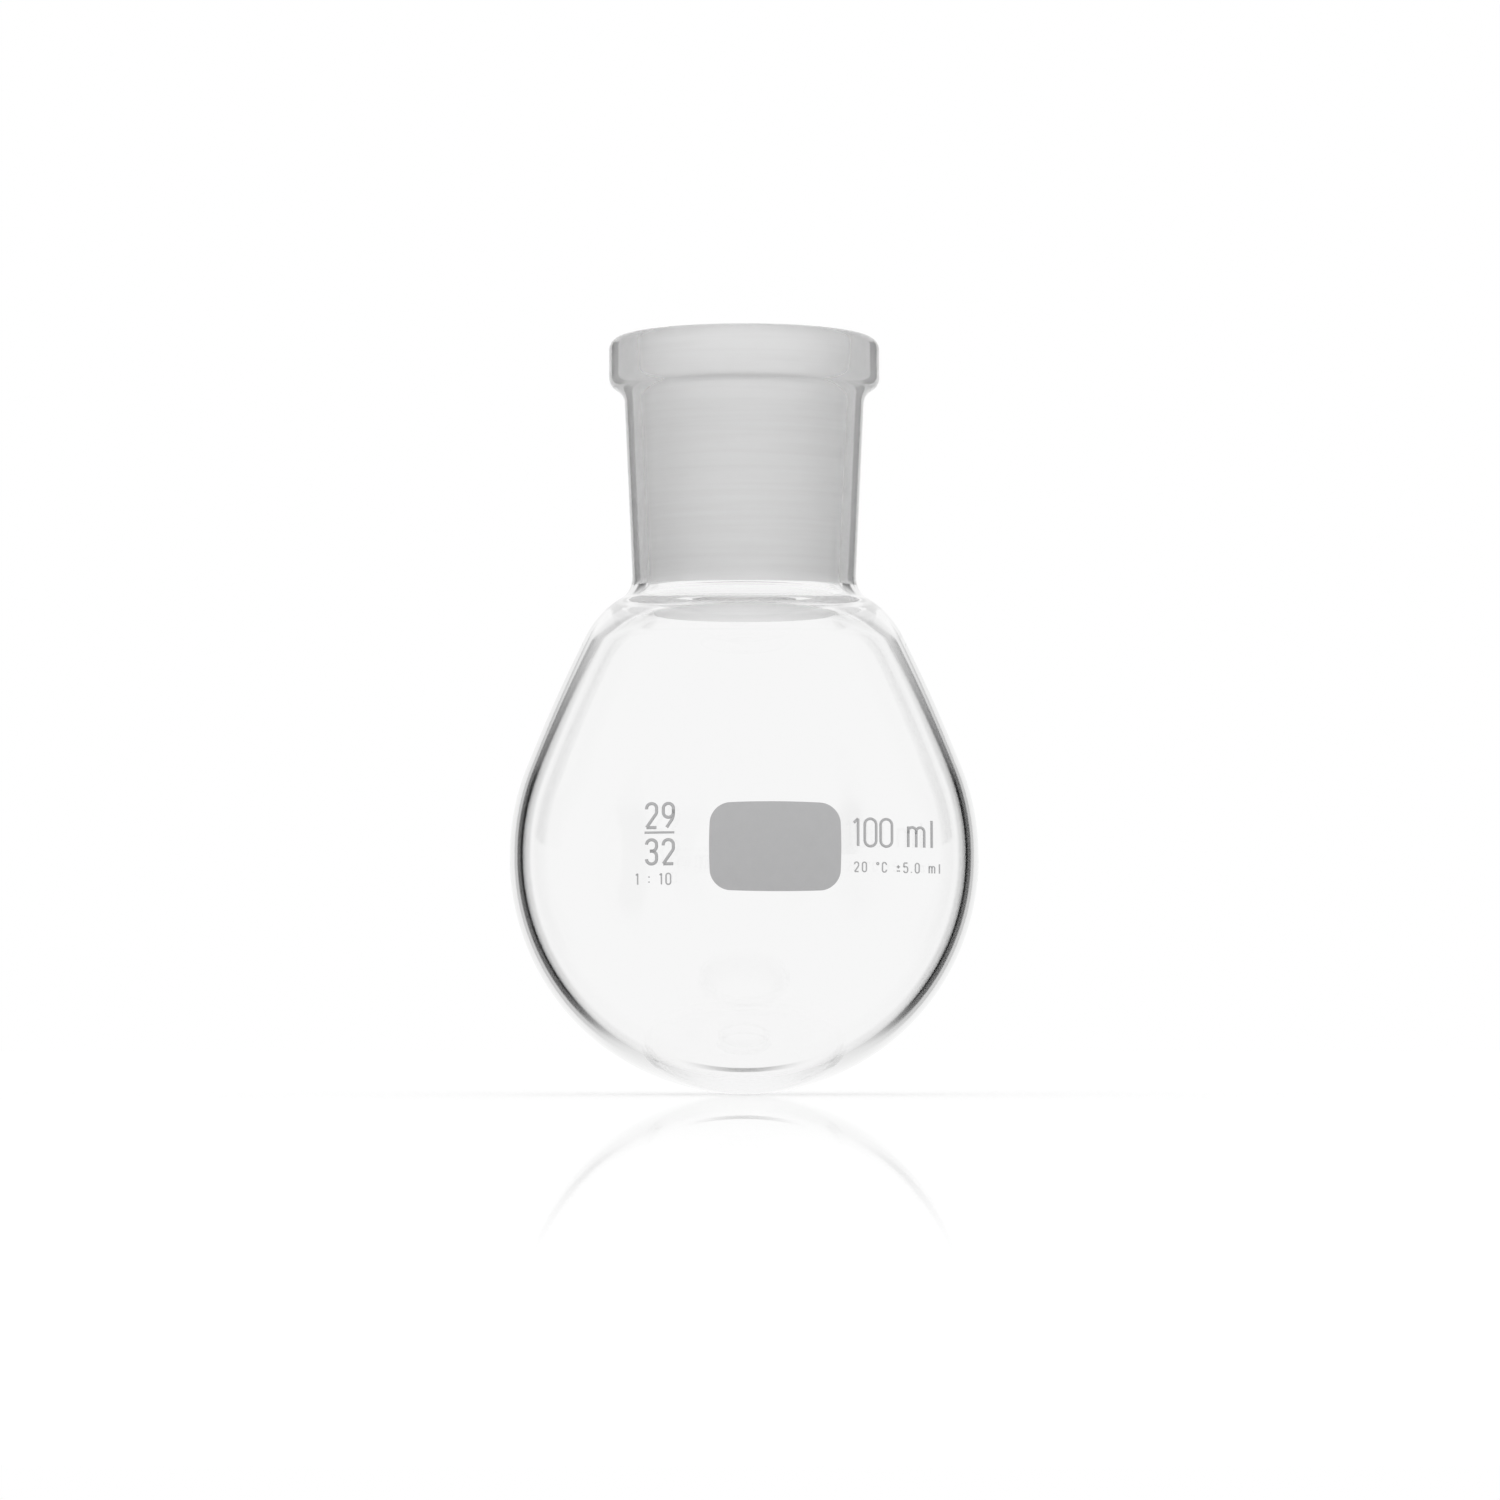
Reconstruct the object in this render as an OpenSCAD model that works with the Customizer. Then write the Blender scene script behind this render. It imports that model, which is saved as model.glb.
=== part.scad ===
// Pear-shaped flask of 100 ml, blown in one piece of borosilicate glass, with a ground
// socket 29/32. Millimetres. The axis is Z, and z = 0 is the plane of the mouth.

/* [Ground socket] */
// Wide end of the ground cone, at the mouth
socket_d = 29.2; // [28:0.1:29.8]
// Length over which the diameter of the ground cone falls by 1
socket_taper = 10; // [9:0.5:12]
// Chamfer where the ground cone meets the rim
rim_chamfer = 0.3; // [0.2:0.05:0.5]

/* [Collar] */
// Diameter of the collar
collar_d = 37.2; // [36:0.1:40]
// Rounding of the collar's upper edge
collar_top_r = 1.65; // [0.8:0.05:1.8]
// Depth below the mouth at which the collar's straight side ends
collar_side_l = 5.5; // [3:0.1:7]
// Rounding of the collar's lower edge
collar_low_r = 1.8; // [1.4:0.05:2.4]
// Fillet between the collar and the neck
collar_fillet_r = 2.2; // [1.6:0.05:3]

/* [Neck] */
// Outer diameter that the neck's taper would have at the mouth
neck_d = 33.7; // [33:0.1:34.5]
// Length over which the neck's diameter falls by 1
neck_taper = 11; // [10:0.5:14]
// Depth below the mouth at which the neck turns out into the shoulder
neck_l = 32.8; // [30:0.1:35]
// Fillet between the neck and the shoulder
neck_fillet_r = 3.5; // [2.5:0.1:4.5]

/* [Bulb] */
// Outer diameter of the bulb
bulb_d = 64.2; // [62:0.1:68]
// Height of the straight belt between the two halves of the bulb
belt_h = 0.7; // [0.5:0.1:3]
// Height of the whole flask
flask_h = 103.8; // [102:0.1:110]
// Radius of the long curve up the flank of the pear
flank_r = 250; // [200:5:350]
// Angle above the belt at which the ball turns into the flank
flank_angle = 21.8; // [20:0.1:24]
// Radius of the shoulder
shoulder_r = 12.9; // [11:0.1:15]

/* [Wall] */
// Wall of the bulb at its belt
bulb_wall = 1.75; // [1.2:0.05:2.2]
// Radius of the flank inside, where the wall grows thicker towards the shoulder
flank_in_r = 190; // [170:5:230]
// Inner radius of the shoulder
shoulder_in_r = 11; // [9.5:0.1:12]
// Extra glass at the bottom of the bulb
base_extra = 0.3; // [0.1:0.05:0.4]

/* [Marking field] */
// Width of the enamel field for handwriting
field_w = 17.4; // [12:0.1:22]
// Height of the field
field_h = 11.9; // [8:0.1:16]
// Corner radius of the field
field_corner_r = 3; // [1:0.1:3.5]
// Thickness of the enamel
field_t = 0.06; // [0.04:0.01:0.2]
// Turn of the field about the axis, from the front to the right
field_turn = 7.6; // [-30:0.1:30]

/* [Hidden] */
$fn = 180;

// Largest gap between an arc of the section and its chords
arc_gap = 0.01;

bulb_r = bulb_d / 2;
bulb_in_r = bulb_r - bulb_wall;
collar_r = collar_d / 2;

// Heights of the centres of the bulb's lower and upper half
low_z = bulb_r - flask_h;
up_z = low_z + belt_h;

// A point of the section at distance r from the origin; angles count up from outwards
function polar(r, angle) = r * [cos(angle), sin(angle)];

// Angle at which point q is seen from point p
function heading(p, q) = atan2(q[1] - p[1], q[0] - p[0]);

// Points of an arc about c; the first is left out where the arc carries on from another
function arc(c, r, start, end, carries_on = false) =
    let (n = ceil(abs(end - start) / (2 * acos(1 - arc_gap / r))))
    [for (i = [carries_on ? 1 : 0:n]) c + polar(r, start + (end - start) * i / n)];

// Where circles of radius ra about a and rb about b cross, left of the way from a to b
function crossing(a, ra, b, rb) =
    let (l = norm(b - a), u = (b - a) / l, m = (ra * ra - rb * rb + l * l) / (2 * l))
    a + m * u + sqrt(ra * ra - m * m) * [-u[1], u[0]];

function reversed(points) = [for (i = [len(points) - 1:-1:0]) points[i]];

// The neck and the ground cone are straight lines of the section, from the plane of the
// mouth down: each has its slope, a direction down along it and one square to it, outwards
neck_slope = atan(0.5 / neck_taper);
neck_top = [neck_d / 2, 0];
neck_down = polar(1, 270 - neck_slope);
neck_out = polar(1, -neck_slope);
socket_slope = atan(0.5 / socket_taper);
socket_top = [socket_d / 2, 0];
socket_down = polar(1, 270 - socket_slope);
socket_out = polar(1, -socket_slope);

// Centres of the collar's roundings and of the fillet that meets the lower one and the neck
collar_top_c = [collar_r - collar_top_r, -collar_top_r];
collar_low_c = [collar_r - collar_low_r, -collar_side_l];
collar_gap = (collar_low_c - neck_top) * neck_out - collar_fillet_r;
collar_drop = sqrt(pow(collar_low_r + collar_fillet_r, 2) - pow(collar_gap, 2));
collar_fillet_c = collar_low_c - collar_gap * neck_out + collar_drop * neck_down;

// Centres of the fillet at the root of the neck, of the flank and of the shoulder between
// them; the fillet's centre serves the inside too, which has a shoulder of its own
root_c = neck_top + neck_down * neck_l / cos(neck_slope) + neck_out * neck_fillet_r;
root_in_r = (root_c - socket_top) * socket_out;
flank_c = [0, up_z] - polar(flank_r - bulb_r, flank_angle);
flank_in_c = [0, up_z] - polar(flank_in_r - bulb_in_r, flank_angle);
shoulder_c = crossing(root_c, neck_fillet_r + shoulder_r, flank_c, flank_r - shoulder_r);
shoulder_in_c = crossing(root_c, root_in_r + shoulder_in_r, flank_in_c, flank_in_r - shoulder_in_r);

// The outline from the root of the neck down to the flank, outside or inside
function pear_line(root_r, slope, s_c, s_r, f_c, f_r) = concat(
    arc(root_c, root_r, 180 - slope, 360 + heading(root_c, s_c)),
    arc(s_c, s_r, heading(s_c, root_c), heading(f_c, s_c), true),
    arc(f_c, f_r, heading(f_c, s_c), flank_angle, true)
);

// The outline of the ball below the flank, whose lower half may be centred higher
function ball_line(r, raised = 0) = concat(
    arc([0, up_z], r, flank_angle, 0, true),
    arc([0, low_z + raised], r, 0, -90)
);

outside = concat(
    arc(collar_top_c, collar_top_r, 90, 0),
    arc(collar_low_c, collar_low_r, 0, heading(collar_low_c, collar_fillet_c)),
    arc(collar_fillet_c, collar_fillet_r, heading(collar_fillet_c, collar_low_c), 180 - neck_slope, true),
    pear_line(neck_fillet_r, neck_slope, shoulder_c, shoulder_r, flank_c, flank_r),
    ball_line(bulb_r)
);

inside = concat(
    [socket_top + [rim_chamfer, 0], socket_top + socket_down * rim_chamfer],
    pear_line(root_in_r, socket_slope, shoulder_in_c, shoulder_in_r, flank_in_c, flank_in_r),
    ball_line(bulb_in_r, base_extra)
);

// Rectangle with round corners, centred
module round_rectangle(w, h, r) {
    square([w - 2 * r, h], center = true);
    square([w, h - 2 * r], center = true);
    for (x = [-1, 1], y = [-1, 1])
        translate([x * (w / 2 - r), y * (h / 2 - r)]) circle(r);
}

// The whole glass is one turned section: collar, neck, shoulder, bulb and the space inside
module flask() {
    color([0.87, 0.9, 0.9, 0.45])
        rotate_extrude() polygon(concat(outside, reversed(inside)));
}

// Enamel fired on the front of the bulb, no thicker than a coat of paint
module marking_field() {
    color("silver")
        rotate([0, 0, field_turn]) intersection() {
            rotate_extrude() polygon(concat(ball_line(bulb_r + field_t), reversed(ball_line(bulb_r))));
            translate([0, 0, up_z - belt_h / 2]) rotate([90, 0, 0])
                linear_extrude(height = bulb_d) round_rectangle(field_w, field_h, field_corner_r);
        }
}

flask();
marking_field();
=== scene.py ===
"""A pear-shaped laboratory flask of clear glass with a ground socket, on a glossy white table."""

import math

import bpy
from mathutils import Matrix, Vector


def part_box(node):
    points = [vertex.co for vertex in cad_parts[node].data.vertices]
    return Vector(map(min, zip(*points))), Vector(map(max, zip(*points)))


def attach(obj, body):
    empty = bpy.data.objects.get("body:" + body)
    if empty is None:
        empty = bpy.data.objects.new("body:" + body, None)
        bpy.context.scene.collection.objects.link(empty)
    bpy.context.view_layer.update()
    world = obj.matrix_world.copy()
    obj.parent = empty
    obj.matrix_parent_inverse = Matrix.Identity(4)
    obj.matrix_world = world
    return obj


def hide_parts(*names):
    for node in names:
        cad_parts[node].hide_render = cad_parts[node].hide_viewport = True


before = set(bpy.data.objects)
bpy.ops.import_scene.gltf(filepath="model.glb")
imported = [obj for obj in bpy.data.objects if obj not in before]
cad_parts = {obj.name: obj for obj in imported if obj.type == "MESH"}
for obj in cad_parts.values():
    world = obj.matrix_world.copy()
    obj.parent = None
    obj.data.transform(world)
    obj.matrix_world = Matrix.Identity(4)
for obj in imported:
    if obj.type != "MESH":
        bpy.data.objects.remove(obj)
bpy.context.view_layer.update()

# Glass
# The flask is blown in one piece of borosilicate glass: collar, neck, shoulder and bulb are one
# wall, turned about the Z axis. The cone inside the neck is ground matt to take a glass joint.
MM = 0.001
low_corner, high_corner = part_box("flask")
flask_h = -low_corner.z

collar_r = 18.6 * MM
collar_top_r = 1.65 * MM
collar_side_l = 5.5 * MM
collar_low_r = 1.8 * MM
collar_fillet_r = 2.2 * MM

# A taper is the length over which the diameter falls by 1
socket_r = 14.6 * MM
socket_taper = 10
rim_chamfer = 0.3 * MM
neck_r = 16.85 * MM
neck_taper = 11
neck_l = 32.8 * MM
neck_fillet_r = 3.5 * MM

shoulder_r = 12.9 * MM
shoulder_in_r = 11 * MM
flank_r = 250 * MM
flank_in_r = 190 * MM
flank_angle = math.radians(21.8)
bulb_r = high_corner.x
belt_h = 0.7 * MM
bulb_wall = 1.75 * MM
base_extra = 0.3 * MM

segments_round = 288
section_step = 0.45 * MM
arc_step_angle = math.radians(9)
arc_least_steps = 4


def polar(r, angle):
    """A point of the section at distance r from the origin; angles count up from outwards."""
    return Vector((r * math.cos(angle), r * math.sin(angle)))


def heading(p, q):
    """The angle at which point q is seen from point p."""
    return math.atan2(q.y - p.y, q.x - p.x)


def arc(centre, r, start, end):
    """Points along an arc of the section, closer together on a small radius."""
    turn = abs(end - start)
    by_length = math.ceil(turn * r / section_step)
    by_angle = math.ceil(turn / arc_step_angle)
    steps = max(arc_least_steps, by_length, by_angle)
    return [centre + polar(r, start + (end - start) * i / steps) for i in range(steps + 1)]


def line(start, end):
    """Points along a straight stretch, its two ends left out."""
    steps = math.ceil((end - start).length / section_step)
    return [start.lerp(end, i / steps) for i in range(1, steps)]


def crossing(a, ra, b, rb):
    """Where two circles cross, left of the way from a to b."""
    apart = (b - a).length
    along = (b - a) / apart
    reach = (ra**2 - rb**2 + apart**2) / (2 * apart)
    return a + reach * along + math.sqrt(ra**2 - reach**2) * Vector((-along.y, along.x))


# The neck and the ground cone each have a direction square to their line, and one down along it
socket_slope = math.atan(0.5 / socket_taper)
socket_out = polar(1, -socket_slope)
socket_down = Vector((socket_out.y, -socket_out.x))
socket_top = Vector((socket_r, 0))
neck_slope = math.atan(0.5 / neck_taper)
neck_out = polar(1, -neck_slope)
neck_down = Vector((neck_out.y, -neck_out.x))
neck_top = Vector((neck_r, 0))

collar_top_c = Vector((collar_r - collar_top_r, -collar_top_r))
collar_low_c = Vector((collar_r - collar_low_r, -collar_side_l))
collar_gap = (collar_low_c - neck_top).dot(neck_out) - collar_fillet_r
collar_drop = math.sqrt((collar_low_r + collar_fillet_r) ** 2 - collar_gap**2)
collar_fillet_c = collar_low_c - collar_gap * neck_out + collar_drop * neck_down

ball_low = Vector((0, bulb_r - flask_h))
ball_up = ball_low + Vector((0, belt_h))
bulb_in_r = bulb_r - bulb_wall
root_c = neck_top + neck_down * neck_l / math.cos(neck_slope) + neck_out * neck_fillet_r
root_in_r = (root_c - socket_top).dot(socket_out)
flank_c = ball_up - polar(flank_r - bulb_r, flank_angle)
flank_in_c = ball_up - polar(flank_in_r - bulb_in_r, flank_angle)
shoulder_c = crossing(root_c, neck_fillet_r + shoulder_r, flank_c, flank_r - shoulder_r)
shoulder_in_c = crossing(root_c, root_in_r + shoulder_in_r, flank_in_c, flank_in_r - shoulder_in_r)


def pear(root_r, slope, centre, r, side_c, side_r, ball_r):
    """The section from the root of the neck to the belt of the bulb, outside or inside."""
    fillet = arc(root_c, root_r, math.pi - slope, 2 * math.pi + heading(root_c, centre))
    shoulder = arc(centre, r, heading(centre, root_c), heading(side_c, centre))
    flank = arc(side_c, side_r, heading(side_c, centre), flank_angle)
    return fillet + shoulder[1:] + flank[1:] + arc(ball_up, ball_r, flank_angle, 0)[1:]


collar = arc(collar_top_c, collar_top_r, math.pi / 2, 0)
collar += arc(collar_low_c, collar_low_r, 0, heading(collar_low_c, collar_fillet_c))
fillet_start = heading(collar_fillet_c, collar_low_c)
collar += arc(collar_fillet_c, collar_fillet_r, fillet_start, math.pi - neck_slope)[1:]
outer = pear(neck_fillet_r, neck_slope, shoulder_c, shoulder_r, flank_c, flank_r, bulb_r)
outer += arc(ball_low, bulb_r, 0, -math.pi / 2)
inner = pear(
    root_in_r, socket_slope, shoulder_in_c, shoulder_in_r, flank_in_c, flank_in_r, bulb_in_r
)
inner += arc(ball_low + Vector((0, base_extra)), bulb_in_r, 0, -math.pi / 2)
mouth = [socket_top + Vector((rim_chamfer, 0)), socket_top + rim_chamfer * socket_down]
outside = collar + line(collar[-1], outer[0]) + outer
inside = mouth + line(mouth[-1], inner[0]) + inner
section = outside[::-1] + line(outside[0], inside[0]) + inside


class Socket:
    """An output of a node tree. Operators on it add Math nodes to the tree."""

    def __init__(self, graph, socket):
        self.graph, self.socket = graph, socket

    def __add__(self, other):
        return self.graph.maths("ADD", self, other)

    def __sub__(self, other):
        return self.graph.maths("SUBTRACT", self, other)

    def __rsub__(self, other):
        return self.graph.maths("SUBTRACT", other, self)

    def __mul__(self, other):
        return self.graph.maths("MULTIPLY", self, other)

    def __truediv__(self, other):
        return self.graph.maths("DIVIDE", self, other)

    def __pow__(self, other):
        return self.graph.maths("POWER", self, other)

    __radd__, __rmul__ = __add__, __mul__


class Graph:
    """Builds the nodes of a shader or of a Geometry Nodes tree."""

    def __init__(self, tree):
        self.tree = tree
        tree.nodes.clear()

    def node(self, kind, settings=None, inputs=None):
        """Adds a node. Settings are set first, then inputs, by name or number."""
        made = self.tree.nodes.new(kind)
        for name, value in (settings or {}).items():
            setattr(made, name, value)
        for key, value in (inputs or {}).items():
            if isinstance(value, Socket):
                self.tree.links.new(value.socket, made.inputs[key])
            else:
                made.inputs[key].default_value = value
        return made

    def out(self, kind, settings=None, inputs=None, output=0):
        """Adds a node and gives one of its outputs."""
        return Socket(self, self.node(kind, settings, inputs).outputs[output])

    def maths(self, operation, *values):
        """Adds a Math node."""
        return self.out("ShaderNodeMath", {"operation": operation}, dict(enumerate(values)))

    def step(self, value, low, high):
        """0 below low, 1 above high and smooth between."""
        ends = {"Value": value, "From Min": low, "From Max": high}
        return self.out("ShaderNodeMapRange", {"interpolation_type": "SMOOTHSTEP"}, ends)

    def split(self, vector):
        """The three parts of a vector."""
        parts = self.node("ShaderNodeSeparateXYZ", inputs={0: vector})
        return [Socket(self, part) for part in parts.outputs]


def new_material(name):
    """A material, and the graph that builds its nodes."""
    made = bpy.data.materials.new(name)
    made.use_nodes = True
    return made, Graph(made.node_tree)


glass_ior = 1.473
glass_tone = 0.998

# The matt finish reaches ground_l down from the mouth and fades over a short zone there. It
# is a skin on the cone, so that the outer side of the neck stays clear, and has fine rings
ground_l = 36.5 * MM
ground_end_below = 0.4 * MM
ground_end_above = 0.2 * MM
ground_skin = (0.38 * MM, 0.46 * MM)
ground_roughness = 0.78
ground_gain = 0.085
ring_dark = 0.2
ring_detail = 5.0
ring_scale = (45, 45, 1300)

glass, g = new_material("clear_glass")
place = g.out("ShaderNodeTexCoord", output="Object")
x, y, z = g.split(place)
from_axis = (x * x + y * y) ** 0.5
cone_at = z * math.tan(socket_slope) + socket_r
in_cone = 1 - g.step(from_axis - cone_at, *ground_skin)
above_end = g.step(z, -ground_l - ground_end_below, -ground_l + ground_end_above)
ground = in_cone * above_end
spread = g.out("ShaderNodeVectorMath", {"operation": "MULTIPLY"}, {0: place, 1: ring_scale})
ring_noise = {"Vector": spread, "Scale": 1.0, "Detail": ring_detail}
rings = g.out("ShaderNodeTexNoise", inputs=ring_noise)
tone = glass_tone - ground * (rings * ring_dark - ground_gain)
surface = g.out(
    "ShaderNodeBsdfPrincipled",
    inputs={
        "Base Color": g.out("ShaderNodeCombineColor", inputs={0: tone, 1: tone, 2: tone}),
        "Roughness": ground * ground_roughness,
        "IOR": glass_ior,
        "Transmission Weight": 1,
    },
)
g.node("ShaderNodeOutputMaterial", inputs={"Surface": surface})


def new_tree(name, given, made):
    """A Geometry Nodes tree with named inputs. Gives the tree, its graph and its inputs."""
    tree = bpy.data.node_groups.new(name, "GeometryNodeTree")
    for label, kind in given.items():
        tree.interface.new_socket(label, in_out="INPUT", socket_type="NodeSocket" + kind)
    tree.interface.new_socket(made, in_out="OUTPUT", socket_type="NodeSocketGeometry")
    n = Graph(tree)
    sockets = n.node("NodeGroupInput").outputs
    return tree, n, [Socket(n, sockets[label]) for label in given]


def finished(n, shape, finish):
    """Ends a tree: its geometry is made real and gets its material."""
    shape = n.out("GeometryNodeRealizeInstances", inputs={"Geometry": shape})
    shape = n.out("GeometryNodeSetMaterial", inputs={"Geometry": shape, "Material": finish})
    n.node("NodeGroupOutput", inputs={0: shape})


def lathe_tree():
    """A tree that turns the section about Z into a closed skin."""
    given = {"Section": "Geometry", "Segments": "Int", "Weld": "Float", "Finish": "Material"}
    tree, n, (part, segments, weld, finish) = new_tree("lathe", given, "Skin")
    rows = n.out("GeometryNodeAttributeDomainSize", inputs={0: part})
    sides = {"Vertices X": segments + 1, "Vertices Y": rows}
    grid = n.out("GeometryNodeMeshGrid", inputs=sides, output="Mesh")
    index = n.out("GeometryNodeInputIndex")
    column = n.maths("FLOOR", (index + 0.5) / rows)
    at = n.out("GeometryNodeInputPosition")
    spot = n.out(
        "GeometryNodeSampleIndex",
        {"data_type": "FLOAT_VECTOR"},
        {"Geometry": part, "Value": at, "Index": index - column * rows},
    )
    radius, _, height = n.split(spot)
    turn = column * (2 * math.pi) / segments
    across, back = n.maths("COSINE", turn), n.maths("SINE", turn)
    turned = n.out("ShaderNodeCombineXYZ", inputs={0: across * radius, 1: back * radius, 2: height})
    skin = n.out("GeometryNodeSetPosition", inputs={"Geometry": grid, "Position": turned})
    skin = n.out("GeometryNodeMergeByDistance", inputs={"Geometry": skin, "Distance": weld})
    skin = n.out("GeometryNodeSetShadeSmooth", inputs={"Geometry": skin})
    finished(n, skin, finish)
    return tree


def grow(obj, tree, values):
    """Runs a Geometry Nodes tree on an object and leaves the result as its plain mesh."""
    modifier = obj.modifiers.new(tree.name, "NODES")
    modifier.node_group = tree
    for item in tree.interface.items_tree:
        if item.in_out == "INPUT" and item.name in values:
            modifier[item.identifier] = values[item.name]
    obj.update_tag()
    evaluated = obj.evaluated_get(bpy.context.evaluated_depsgraph_get())
    mesh = bpy.data.meshes.new_from_object(evaluated)
    obj.modifiers.clear()
    obj.data = mesh


def new_object(name, points, edges=(), faces=()):
    """A mesh object at the origin, linked into the scene."""
    mesh = bpy.data.meshes.new(name)
    mesh.from_pydata(points, edges, faces)
    made = bpy.data.objects.new(name, mesh)
    bpy.context.scene.collection.objects.link(made)
    return made


# The skin's two ends, and its points on the axis, are closer together than this
weld_gap = 1e-7
section_points = [(p.x, 0, p.y) for p in section]
section_edges = [(i, i + 1) for i in range(len(section) - 1)]
flask = new_object("flask_glass", section_points, section_edges)
grow(flask, lathe_tree(), {"Segments": segments_round, "Weld": weld_gap, "Finish": glass})
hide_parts("flask")
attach(flask, "root")

# Marking field
# A field of grey enamel is screen-printed on the front of the bulb and fired on, to be written
# on in pencil. It is a skin 0.03 mm thick, with round corners, and its sides bulge a little.
field_w = 16.95 * MM
field_h = 11.35 * MM
field_corner_r = 2.5 * MM
field_bulge = 0.25 * MM
field_place = Vector((4.1 * MM, 0.4 * MM))
enamel_low = 0.004 * MM
enamel_top = 0.034 * MM
enamel_step = 0.5 * MM
corner_steps = 12
field_rings = 10
belt_z = ball_up.y - belt_h / 2

enamel_dark = (0.415, 0.415, 0.42, 1)
enamel_pale = (0.475, 0.475, 0.48, 1)
enamel_roughness = 0.5
cloud_roughness = 0.15
cloud_scale = 700.0
cloud_detail = 3.0
grain_scale = 9000.0
grain_detail = 1.0
grain_share = 0.5
grain_depth = 0.01 * MM
grain_strength = 0.25

enamel, e = new_material("grey_enamel")
place = e.out("ShaderNodeTexCoord", output="Object")
grain_noise = {"Vector": place, "Scale": grain_scale, "Detail": grain_detail}
cloud_noise = {"Vector": place, "Scale": cloud_scale, "Detail": cloud_detail}
grain = e.out("ShaderNodeTexNoise", inputs=grain_noise)
cloud = e.out("ShaderNodeTexNoise", inputs=cloud_noise)
patchy = grain * grain_share + cloud * (1 - grain_share)
tints = {0: patchy, "A": enamel_dark, "B": enamel_pale}
coat = e.out("ShaderNodeMix", {"data_type": "RGBA"}, tints, "Result")
bumps = {"Height": grain, "Strength": grain_strength, "Distance": grain_depth}
relief = e.out("ShaderNodeBump", inputs=bumps)
rough = enamel_roughness + cloud * cloud_roughness
looks = {"Base Color": coat, "Roughness": rough, "Normal": relief}
surface = e.out("ShaderNodeBsdfPrincipled", inputs=looks)
e.node("ShaderNodeOutputMaterial", inputs={"Surface": surface})


def on_bulb(u, v, lift):
    """The bulb's point that the front view shows u right of the axis and v above the belt."""
    past_belt = max(abs(v) - belt_h / 2, 0)
    return Vector((u, -math.sqrt((bulb_r + lift) ** 2 - u**2 - past_belt**2), belt_z + v))


def bulged(p):
    """A point of the field's outline, moved out most at the middle of a side."""
    out_x = math.copysign(field_bulge, p.x) * (1 - (2 * p.y / field_h) ** 2)
    out_y = math.copysign(field_bulge, p.y) * (1 - (2 * p.x / field_w) ** 2)
    return p + Vector((out_x, out_y))


corners = []
for side_x, side_y, start in ((1, 1, 0), (-1, 1, 90), (-1, -1, 180), (1, -1, 270)):
    corner_x = side_x * (field_w / 2 - field_corner_r)
    corner_y = side_y * (field_h / 2 - field_corner_r)
    for i in range(corner_steps + 1):
        angle = math.radians(start + 90 * i / corner_steps)
        corners.append(Vector((corner_x, corner_y)) + polar(field_corner_r, angle))
outline = []
for start, end in zip(corners, corners[1:] + corners[:1]):
    steps = max(1, math.ceil((end - start).length / enamel_step))
    outline += [bulged(start.lerp(end, i / steps)) for i in range(steps)]
count = len(outline)

# Rings of points run out over the top of the enamel, and back in over its underside
layers = [(i / field_rings, enamel_top) for i in range(1, field_rings + 1)]
layers += [(scale, enamel_low) for scale, _ in reversed(layers)]
field_points = []
for scale, lift in layers:
    field_points += [on_bulb(*(field_place + p * scale), lift) for p in outline]
field_faces = []
for row in range(len(layers) - 1):
    for i in range(count):
        here, over, after = row * count, (row + 1) * count, (i + 1) % count
        field_faces.append((here + i, over + i, over + after, here + after))
top_middle, low_middle = len(field_points), len(field_points) + 1
field_points += [on_bulb(*field_place, enamel_top), on_bulb(*field_place, enamel_low)]
last_row = (len(layers) - 1) * count
field_faces += [(i, (i + 1) % count, top_middle) for i in range(count)]
field_faces += [(last_row + (i + 1) % count, last_row + i, low_middle) for i in range(count)]

field = new_object("marking_enamel", field_points, faces=field_faces)
field.data.materials.append(enamel)
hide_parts("marking_field")
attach(field, "root")

# Printed numbers
# The volume and its tolerance, and the size and the taper of the ground socket, are printed in
# the same enamel. Each is drawn as flat pen strokes with bent corners, laid on the bulb.
stroke_step = 0.12 * MM
bend_points = 8

# A letter is drawn 1 high. It has a width and strokes, and each point of a stroke has the
# radius of its bend
wide = 0.42
usual_bend = 0.2


def loop(left, low, right, high):
    """A closed oval stroke."""
    bend = min(right - left, high - low) / 2
    sides = ((left, low), (right, low), (right, high), (left, high), (left, low))
    return [(px, py, bend) for px, py in sides]


def bent(*points, bend=usual_bend):
    """An open stroke whose corners are rounded."""
    return [(px, py, bend) for px, py in points]


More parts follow.
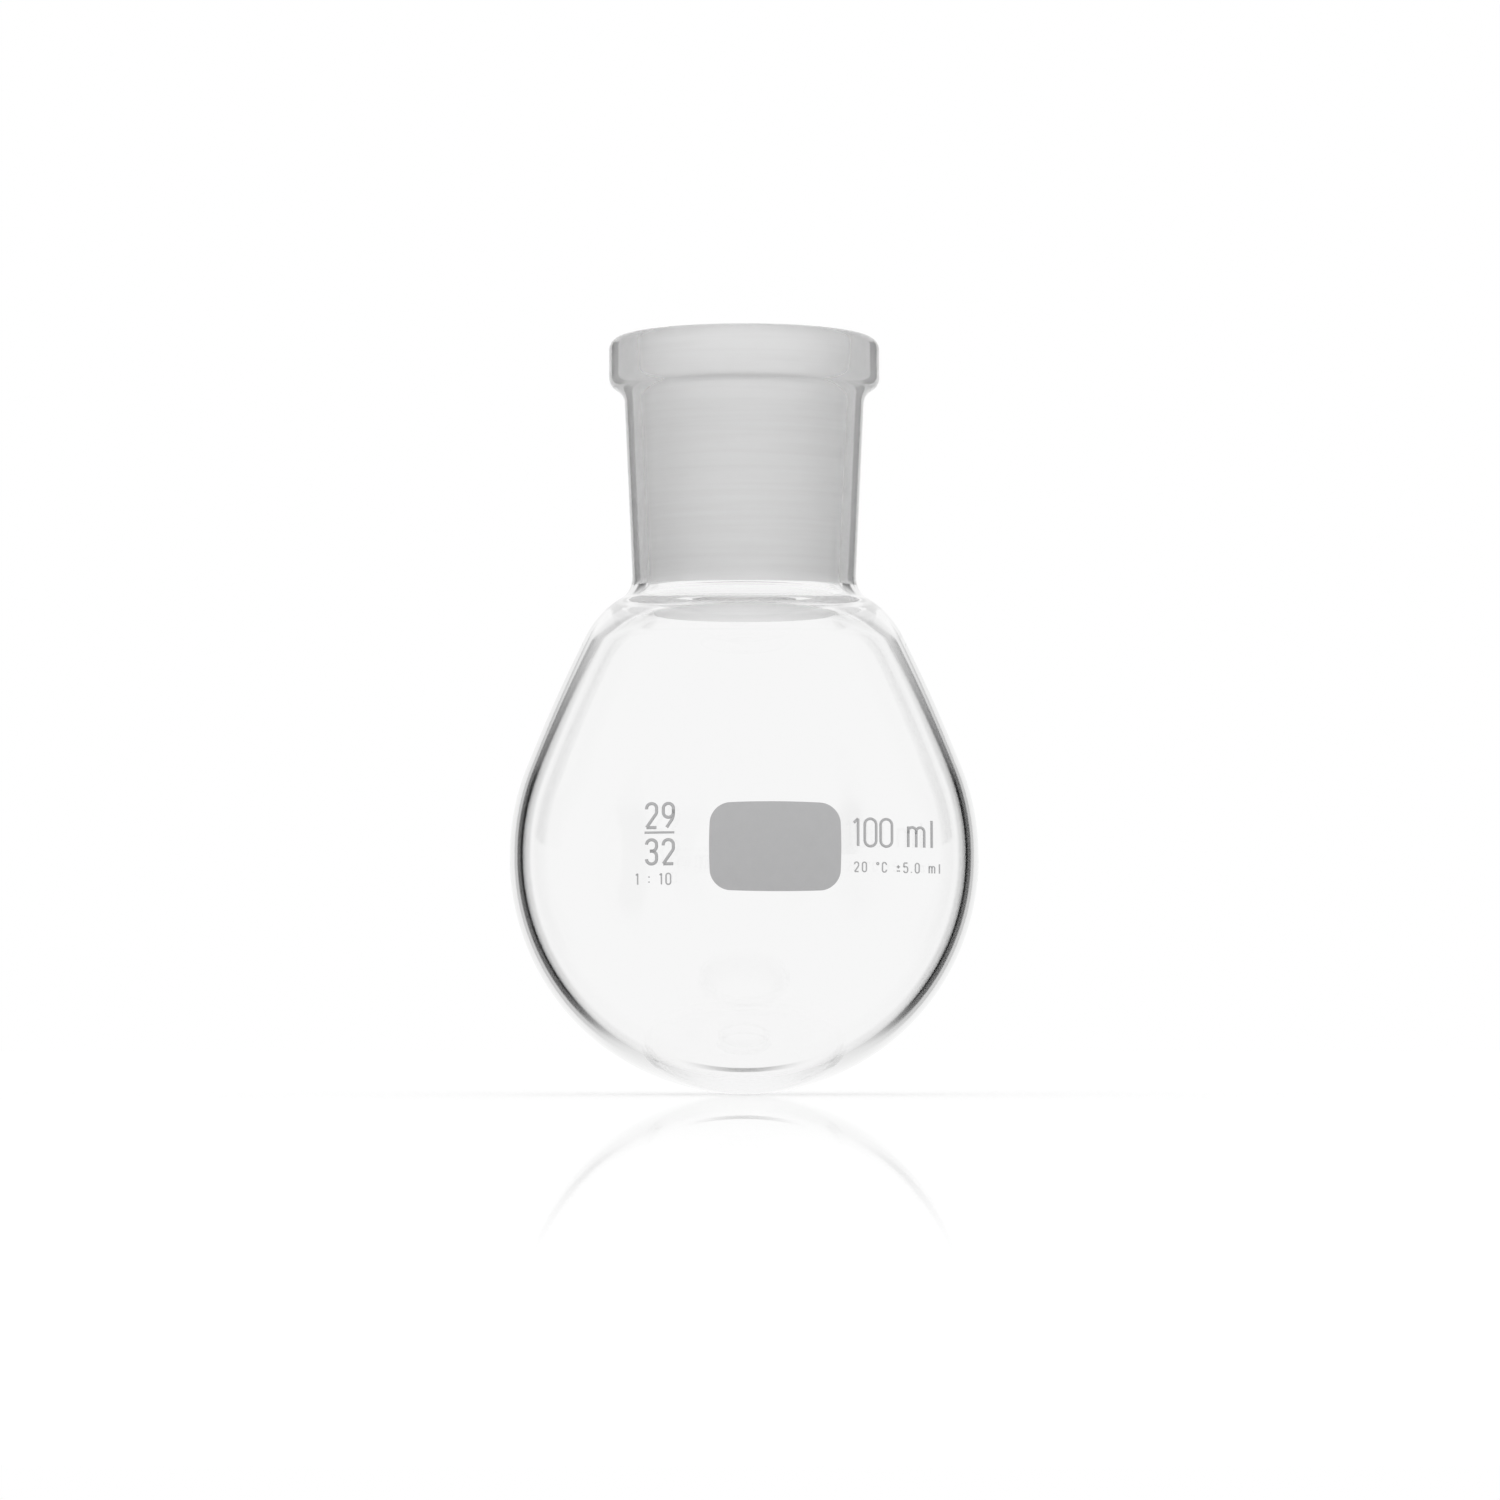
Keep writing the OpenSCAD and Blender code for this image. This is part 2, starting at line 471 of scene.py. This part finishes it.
glyphs = {
    "0": (wide, [loop(0, 0, wide, 1)]),
    "1": (0.24, [bent((0.16, 1), (0.16, 0)), bent((0, 0.84), (0.16, 1))]),
    "2": (
        wide,
        [
            bent((0, 0.76), (0, 1), (wide, 1), (wide, 0.6), (0, 0)),
            bent((0, 0), (wide, 0)),
        ],
    ),
    "3": (
        wide,
        [
            bent((0, 0.8), (0, 1), (wide, 1), (wide, 0.53), (0.14, 0.53)),
            bent((0.14, 0.53), (wide, 0.53), (wide, 0), (0, 0), (0, 0.2)),
        ],
    ),
    "5": (
        wide,
        [
            bent((0.4, 1), (0.03, 1)),
            bent((0.03, 1), (0, 0.55)),
            bent((0, 0.55), (0.06, 0.62), (wide, 0.62), (wide, 0), (0, 0), (0, 0.2)),
        ],
    ),
    "9": (wide, [loop(0, 0.42, wide, 1), bent((wide, 0.74), (wide, 0.42), (0.14, 0), bend=0.5)]),
    "C": (wide, [bent((wide, 0.74), (wide, 1), (0, 1), (0, 0), (wide, 0), (wide, 0.26))]),
    "m": (
        0.6,
        [
            bent((0, 0), (0, 0.76)),
            bent((0, 0.5), (0, 0.73), (0.3, 0.73), (0.3, 0), bend=0.15),
            bent((0.3, 0.5), (0.3, 0.73), (0.6, 0.73), (0.6, 0), bend=0.15),
        ],
    ),
    "l": (0.15, [bent((0.12, 0), (0.12, 1))]),
    ":": (0.02, [bent((0, 0.16), (0, 0.28)), bent((0, 0.62), (0, 0.74))]),
    "°": (0.2, [loop(0, 0.76, 0.22, 0.98)]),
    "±": (
        0.36,
        [
            bent((0, 0.58), (0.36, 0.58)),
            bent((0.18, 0.4), (0.18, 0.76)),
            bent((0, 0.14), (0.36, 0.14)),
        ],
    ),
    ".": (0.02, [bent((0, 0), (0, 0.1))]),
    " ": (0.28, []),
    "_": (1.2, [bent((0, 0), (1.2, 0))]),
}


def print_tree():
    """A tree that draws the strokes with a flat pen and lays them on the bulb."""
    given = {"Strokes": "Geometry", "Pen Width": "Float", "Finish": "Material"}
    tree, n, (part, pen, finish) = new_tree("enamel_print", given, "Print")
    bend = n.out("GeometryNodeInputNamedAttribute", {"data_type": "FLOAT"}, {"Name": "bend"})
    pen_way = n.out("GeometryNodeMeshToCurve", inputs={0: part})
    bends = {"Curve": pen_way, "Radius": bend, "Limit Radius": True, "Count": bend_points}
    pen_way = n.out("GeometryNodeFilletCurve", {"mode": "POLY"}, bends)
    steps = {"Curve": pen_way, "Length": stroke_step}
    pen_way = n.out("GeometryNodeResampleCurve", {"mode": "LENGTH"}, steps)
    pen_way = n.out("GeometryNodeSetCurveNormal", {"mode": "Z_UP"}, {"Curve": pen_way})
    nib_sides = {"Width": pen, "Height": enamel_top - enamel_low}
    nib = n.out("GeometryNodeCurvePrimitiveQuadrilateral", inputs=nib_sides)
    drawing = {"Curve": pen_way, "Profile Curve": nib, "Fill Caps": True}
    ink = n.out("GeometryNodeCurveToMesh", inputs=drawing)
    u, v, lift = n.split(n.out("GeometryNodeInputPosition"))
    r = lift + (bulb_r + (enamel_top + enamel_low) / 2)
    past_belt = n.maths("MAXIMUM", n.maths("ABSOLUTE", v) - belt_h / 2, 0)
    depth = (r * r - u * u - past_belt * past_belt) ** 0.5
    laid = n.out("ShaderNodeCombineXYZ", inputs={0: u, 1: 0 - depth, 2: v + belt_z})
    ink = n.out("GeometryNodeSetPosition", inputs={"Geometry": ink, "Position": laid})
    finished(n, ink, finish)
    return tree


def drawn(words, left, base, height, pen, gap):
    """The points, edges and bend radii of the strokes, flat, as the front view shows them."""
    scale = (height - pen) * MM
    points, edges, bends = [], [], []
    across = 0
    for letter in words:
        width, strokes = glyphs[letter]
        for stroke in strokes:
            closed = stroke[0] == stroke[-1]
            first = len(points)
            for px, py, bend in stroke[:-1] if closed else stroke:
                flat_x = (left + pen / 2) * MM + (across + px) * scale
                flat_y = (base + pen / 2) * MM + py * scale
                points.append((flat_x, flat_y, 0))
                bends.append(bend * scale)
            last = len(points) - 1
            edges += [(i, i + 1) for i in range(first, last)]
            if closed:
                edges.append((last, first))
        across += width + gap
    return points, edges, bends


# Name, words, then in millimetres the left end from the axis, the foot from the belt, the
# height and the pen's width, and the gap between letters as a share of the height
prints = (
    ("volume_print", "100 ml", 14.3, 0.35, 4.0, 0.36, 0.165),
    ("tolerance_print", "20 °C ±5.0 ml", 14.5, -2.95, 1.45, 0.19, 0.41),
    ("socket_print", "29", -13.1, 2.7, 3.6, 0.42, 0.28),
    ("taper_print", "32", -13.1, -2.1, 3.6, 0.42, 0.28),
    ("ratio_print", "1 : 10", -14.4, -4.7, 1.65, 0.2, 0.34),
    ("bar_print", "_", -13.3, 2.1, 3.6, 0.3, 0.28),
)
laid_print = print_tree()
for name, words, left, base, height, pen, gap in prints:
    points, edges, bends = drawn(words, left, base, height, pen, gap)
    words_printed = new_object(name, points, edges)
    bend_radii = words_printed.data.attributes.new("bend", "FLOAT", "POINT")
    bend_radii.data.foreach_set("value", bends)
    grow(words_printed, laid_print, {"Pen Width": pen * MM, "Finish": enamel})
    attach(words_printed, "root")

# Table
# A glossy white table top, which isn't part of the flask. Its mirror image of the flask is
# strongest round the foot and fades outwards. In and by the glass it shows as a full mirror.
table_half = 3.0
table_z = -flask_h - 0.05 * MM
mirror_fade = (0.1, 0.7)
mirror_share = 0.75
white = (1, 1, 1, 1)


def ray_facts(graph, *names):
    """What the Light Path node knows of the ray that asks for a colour."""
    path = graph.node("ShaderNodeLightPath")
    return [Socket(graph, path.outputs[name]) for name in names]


def more_than(graph, count, number):
    """1 where a count of bounces is more than a whole number, and 0 elsewhere."""
    return graph.maths("GREATER_THAN", count, number + 0.5)


table_corners = ((-1, -1), (1, -1), (1, 1), (-1, 1))
table_points = [(tx * table_half, ty * table_half, table_z) for tx, ty in table_corners]
table = new_object("table_top", table_points, faces=[(0, 1, 2, 3)])
top, t = new_material("white_table")
place = t.out("ShaderNodeTexCoord", output="Object")
reach = t.out("ShaderNodeVectorMath", {"operation": "LENGTH"}, {0: place}, output="Value")
fade = 1 - t.step(reach, *mirror_fade)
passed, thrown = ray_facts(t, "Transmission Depth", "Glossy Depth")
seen_by_glass = more_than(t, passed + thrown, 0)
matt = t.out("ShaderNodeBsdfDiffuse", inputs={"Color": white})
mirror = t.out("ShaderNodeBsdfGlossy", inputs={"Color": white, "Roughness": 0.0})
share = t.maths("MAXIMUM", fade * mirror_share, seen_by_glass)
mix = t.out("ShaderNodeMixShader", inputs={0: share, 1: matt, 2: mirror})
t.node("ShaderNodeOutputMaterial", inputs={"Surface": mix})
table.data.materials.append(top)

# Studio
# Plain soft light from all round. Only the glass shows the rest: dark flags behind and on the
# left, faint ones in front and on the right, a grey ceiling, and a strip in the table's mirror.

# A pair says where a thing starts and where it is full, as angles in degrees or shares of 1
flag_dark = 0.99
flag_start = 24
back_flag_end = 42
side_flag_end = 38
flag_inner_soft = 3.5
flag_outer_soft = 5
flag_widening = 1.5
flag_beside = (0.26, 0.38)
flag_top = (14, 23)
flag_top_loss = 0.7
flag_top_rise = 6

# The left flag is darker towards the front, and near_dark is for the two faint ones
left_dark = 0.8
left_loss = 0.68
left_turn = (-0.2, 0.2)
near_dark = 0.15

# The strip and the ceiling by their height above the horizon
strip_low = (12.9, 13.6)
strip_high = (16, 16.8)
strip_sides = (0.0, 0.09)
ceiling_dark = 0.72
ceiling_edge = (18, 40)

# Above this edge the bare table mirrors white alone, and rays that are thrown round inside
# the wall see the flags weakly
open_edge = (12, 19)
led_round_muting = 0.85

# A ring of the backdrop is duller, and less so through the bulb
dull = 0.16
dull_loss = 0.1
dull_start = (4, 20)
dull_end = (42, 47)
dull_sides = (0.05, 0.25)

# What the glass takes from the light, and what matt surfaces get more of it
glass_loss = 0.07
matt_gain = 0.06

world = bpy.data.worlds.new("studio")
bpy.context.scene.world = world
world.use_nodes = True
w = Graph(world.node_tree)
wx, wy, wz = w.split(w.out("ShaderNodeTexCoord", output="Generated"))
wide_x, wide_y = w.maths("ABSOLUTE", wx), w.maths("ABSOLUTE", wy)
up = w.maths("ARCSINE", wz)

# What a ray met before: matt surfaces, the table's mirror, the glass, the space inside it, and
# whether it was thrown round within the wall
to_eye, from_glass = ray_facts(w, "Is Camera Ray", "Is Transmission Ray")
matt_met, passed, thrown = ray_facts(w, "Diffuse Depth", "Transmission Depth", "Glossy Depth")
from_matt = more_than(w, matt_met, 0)
by_table = more_than(w, passed + thrown, 1) * (1 - from_glass)
touched = more_than(w, passed, 0)
through = more_than(w, passed, 3)
led_round = more_than(w, thrown - by_table, 3)
inner_mirror = through * more_than(w, thrown - 2 * by_table, 0)
muted = led_round_muting * w.maths("MAXIMUM", led_round, inner_mirror)


def angle_step(angle, start, end):
    """0 below the start and 1 above the end, in degrees."""
    return w.step(angle, math.radians(start), math.radians(end))


def band(facing, start, end):
    """A dark band round one direction, from one angle off it to another."""
    off = w.maths("ARCCOSINE", facing)
    inner_edge = off - through * math.radians(flag_widening)
    begun = angle_step(inner_edge, start, start + flag_inner_soft)
    return begun * (1 - angle_step(off, end, end + flag_outer_soft))


beside_x = w.step(wide_x, *flag_beside)
beside_y = w.step(wide_y, *flag_beside) * touched
behind = beside_x * band(wy, flag_start, back_flag_end)
left_flag = beside_y * band(0 - wx, flag_start, side_flag_end)
left_flag = left_flag * (left_dark - left_loss * w.step(wy, *left_turn))
front_flag = touched * beside_x * band(0 - wy, flag_start, side_flag_end)
right_flag = beside_y * band(wx, flag_start, side_flag_end)
near_flags = near_dark * w.maths("MAXIMUM", front_flag, right_flag)
top_edge = angle_step(up - by_table * math.radians(flag_top_rise), *flag_top)
side_flags = w.maths("MAXIMUM", behind, w.maths("MAXIMUM", left_flag, near_flags))
side_flags = side_flags * (1 - flag_top_loss * top_edge)
strip = angle_step(up, *strip_low) * (1 - angle_step(up, *strip_high))
foot_strip = by_table * through * strip * (1 - w.step(wide_x, *strip_sides))
ceiling = ceiling_dark * (1 - more_than(w, thrown, 0)) * angle_step(up, *ceiling_edge)
open_table = (1 - more_than(w, passed * 2 + thrown, 1)) * angle_step(up, *open_edge)
dark_things = (1 - muted) * w.maths("MAXIMUM", side_flags, foot_strip)
flag = (1 - open_table) * w.maths("MAXIMUM", dark_things, ceiling)

off_back = w.maths("ARCCOSINE", wy)
dull_ring = angle_step(off_back, *dull_start) * (1 - angle_step(off_back, *dull_end))
dull_ring = dull_ring * w.step(wide_x, *dull_sides) * (1 - open_table)
duller = (dull - dull_loss * through) * dull_ring
level = (1 - glass_loss * touched) * (1 - duller)
seen = (1 - from_matt) * (1 - to_eye)
shade = 1 + matt_gain * from_matt - seen * (1 - level * (1 - flag_dark * flag))
light = w.out("ShaderNodeBackground", inputs={"Color": white, "Strength": shade})
w.node("ShaderNodeOutputWorld", inputs={"Surface": light})
world.cycles.sampling_method = "NONE"

# Camera
# A long lens stands 0.79 m in front of the flask, close above the table, and looks up a little
# at the flask's middle. Its focal length is given in pixels of the photo's frame.
eye_distance = 0.79
eye_height = 7.3 * MM
aim_side = 0.8 * MM
aim_height = -56.7 * MM
lens_px = 5767
frame_px = 1500
sensor_w = 36
camera_data = bpy.data.cameras.new("camera")
camera_data.sensor_width = sensor_w
camera_data.lens = sensor_w * lens_px / frame_px
camera = bpy.data.objects.new("camera", camera_data)
bpy.context.scene.collection.objects.link(camera)
camera.location = (0, -eye_distance, -flask_h + eye_height)
aim = Vector((aim_side, 0, aim_height))
camera.rotation_euler = (aim - camera.location).to_track_quat("-Z", "Y").to_euler()
bpy.context.scene.camera = camera

bpy.context.scene.view_settings.view_transform = "Standard"

# A ray meets the clear wall many times before it leaves
cycles = bpy.context.scene.cycles
cycles.max_bounces = 64
cycles.transmission_bounces = 64
cycles.glossy_bounces = 48
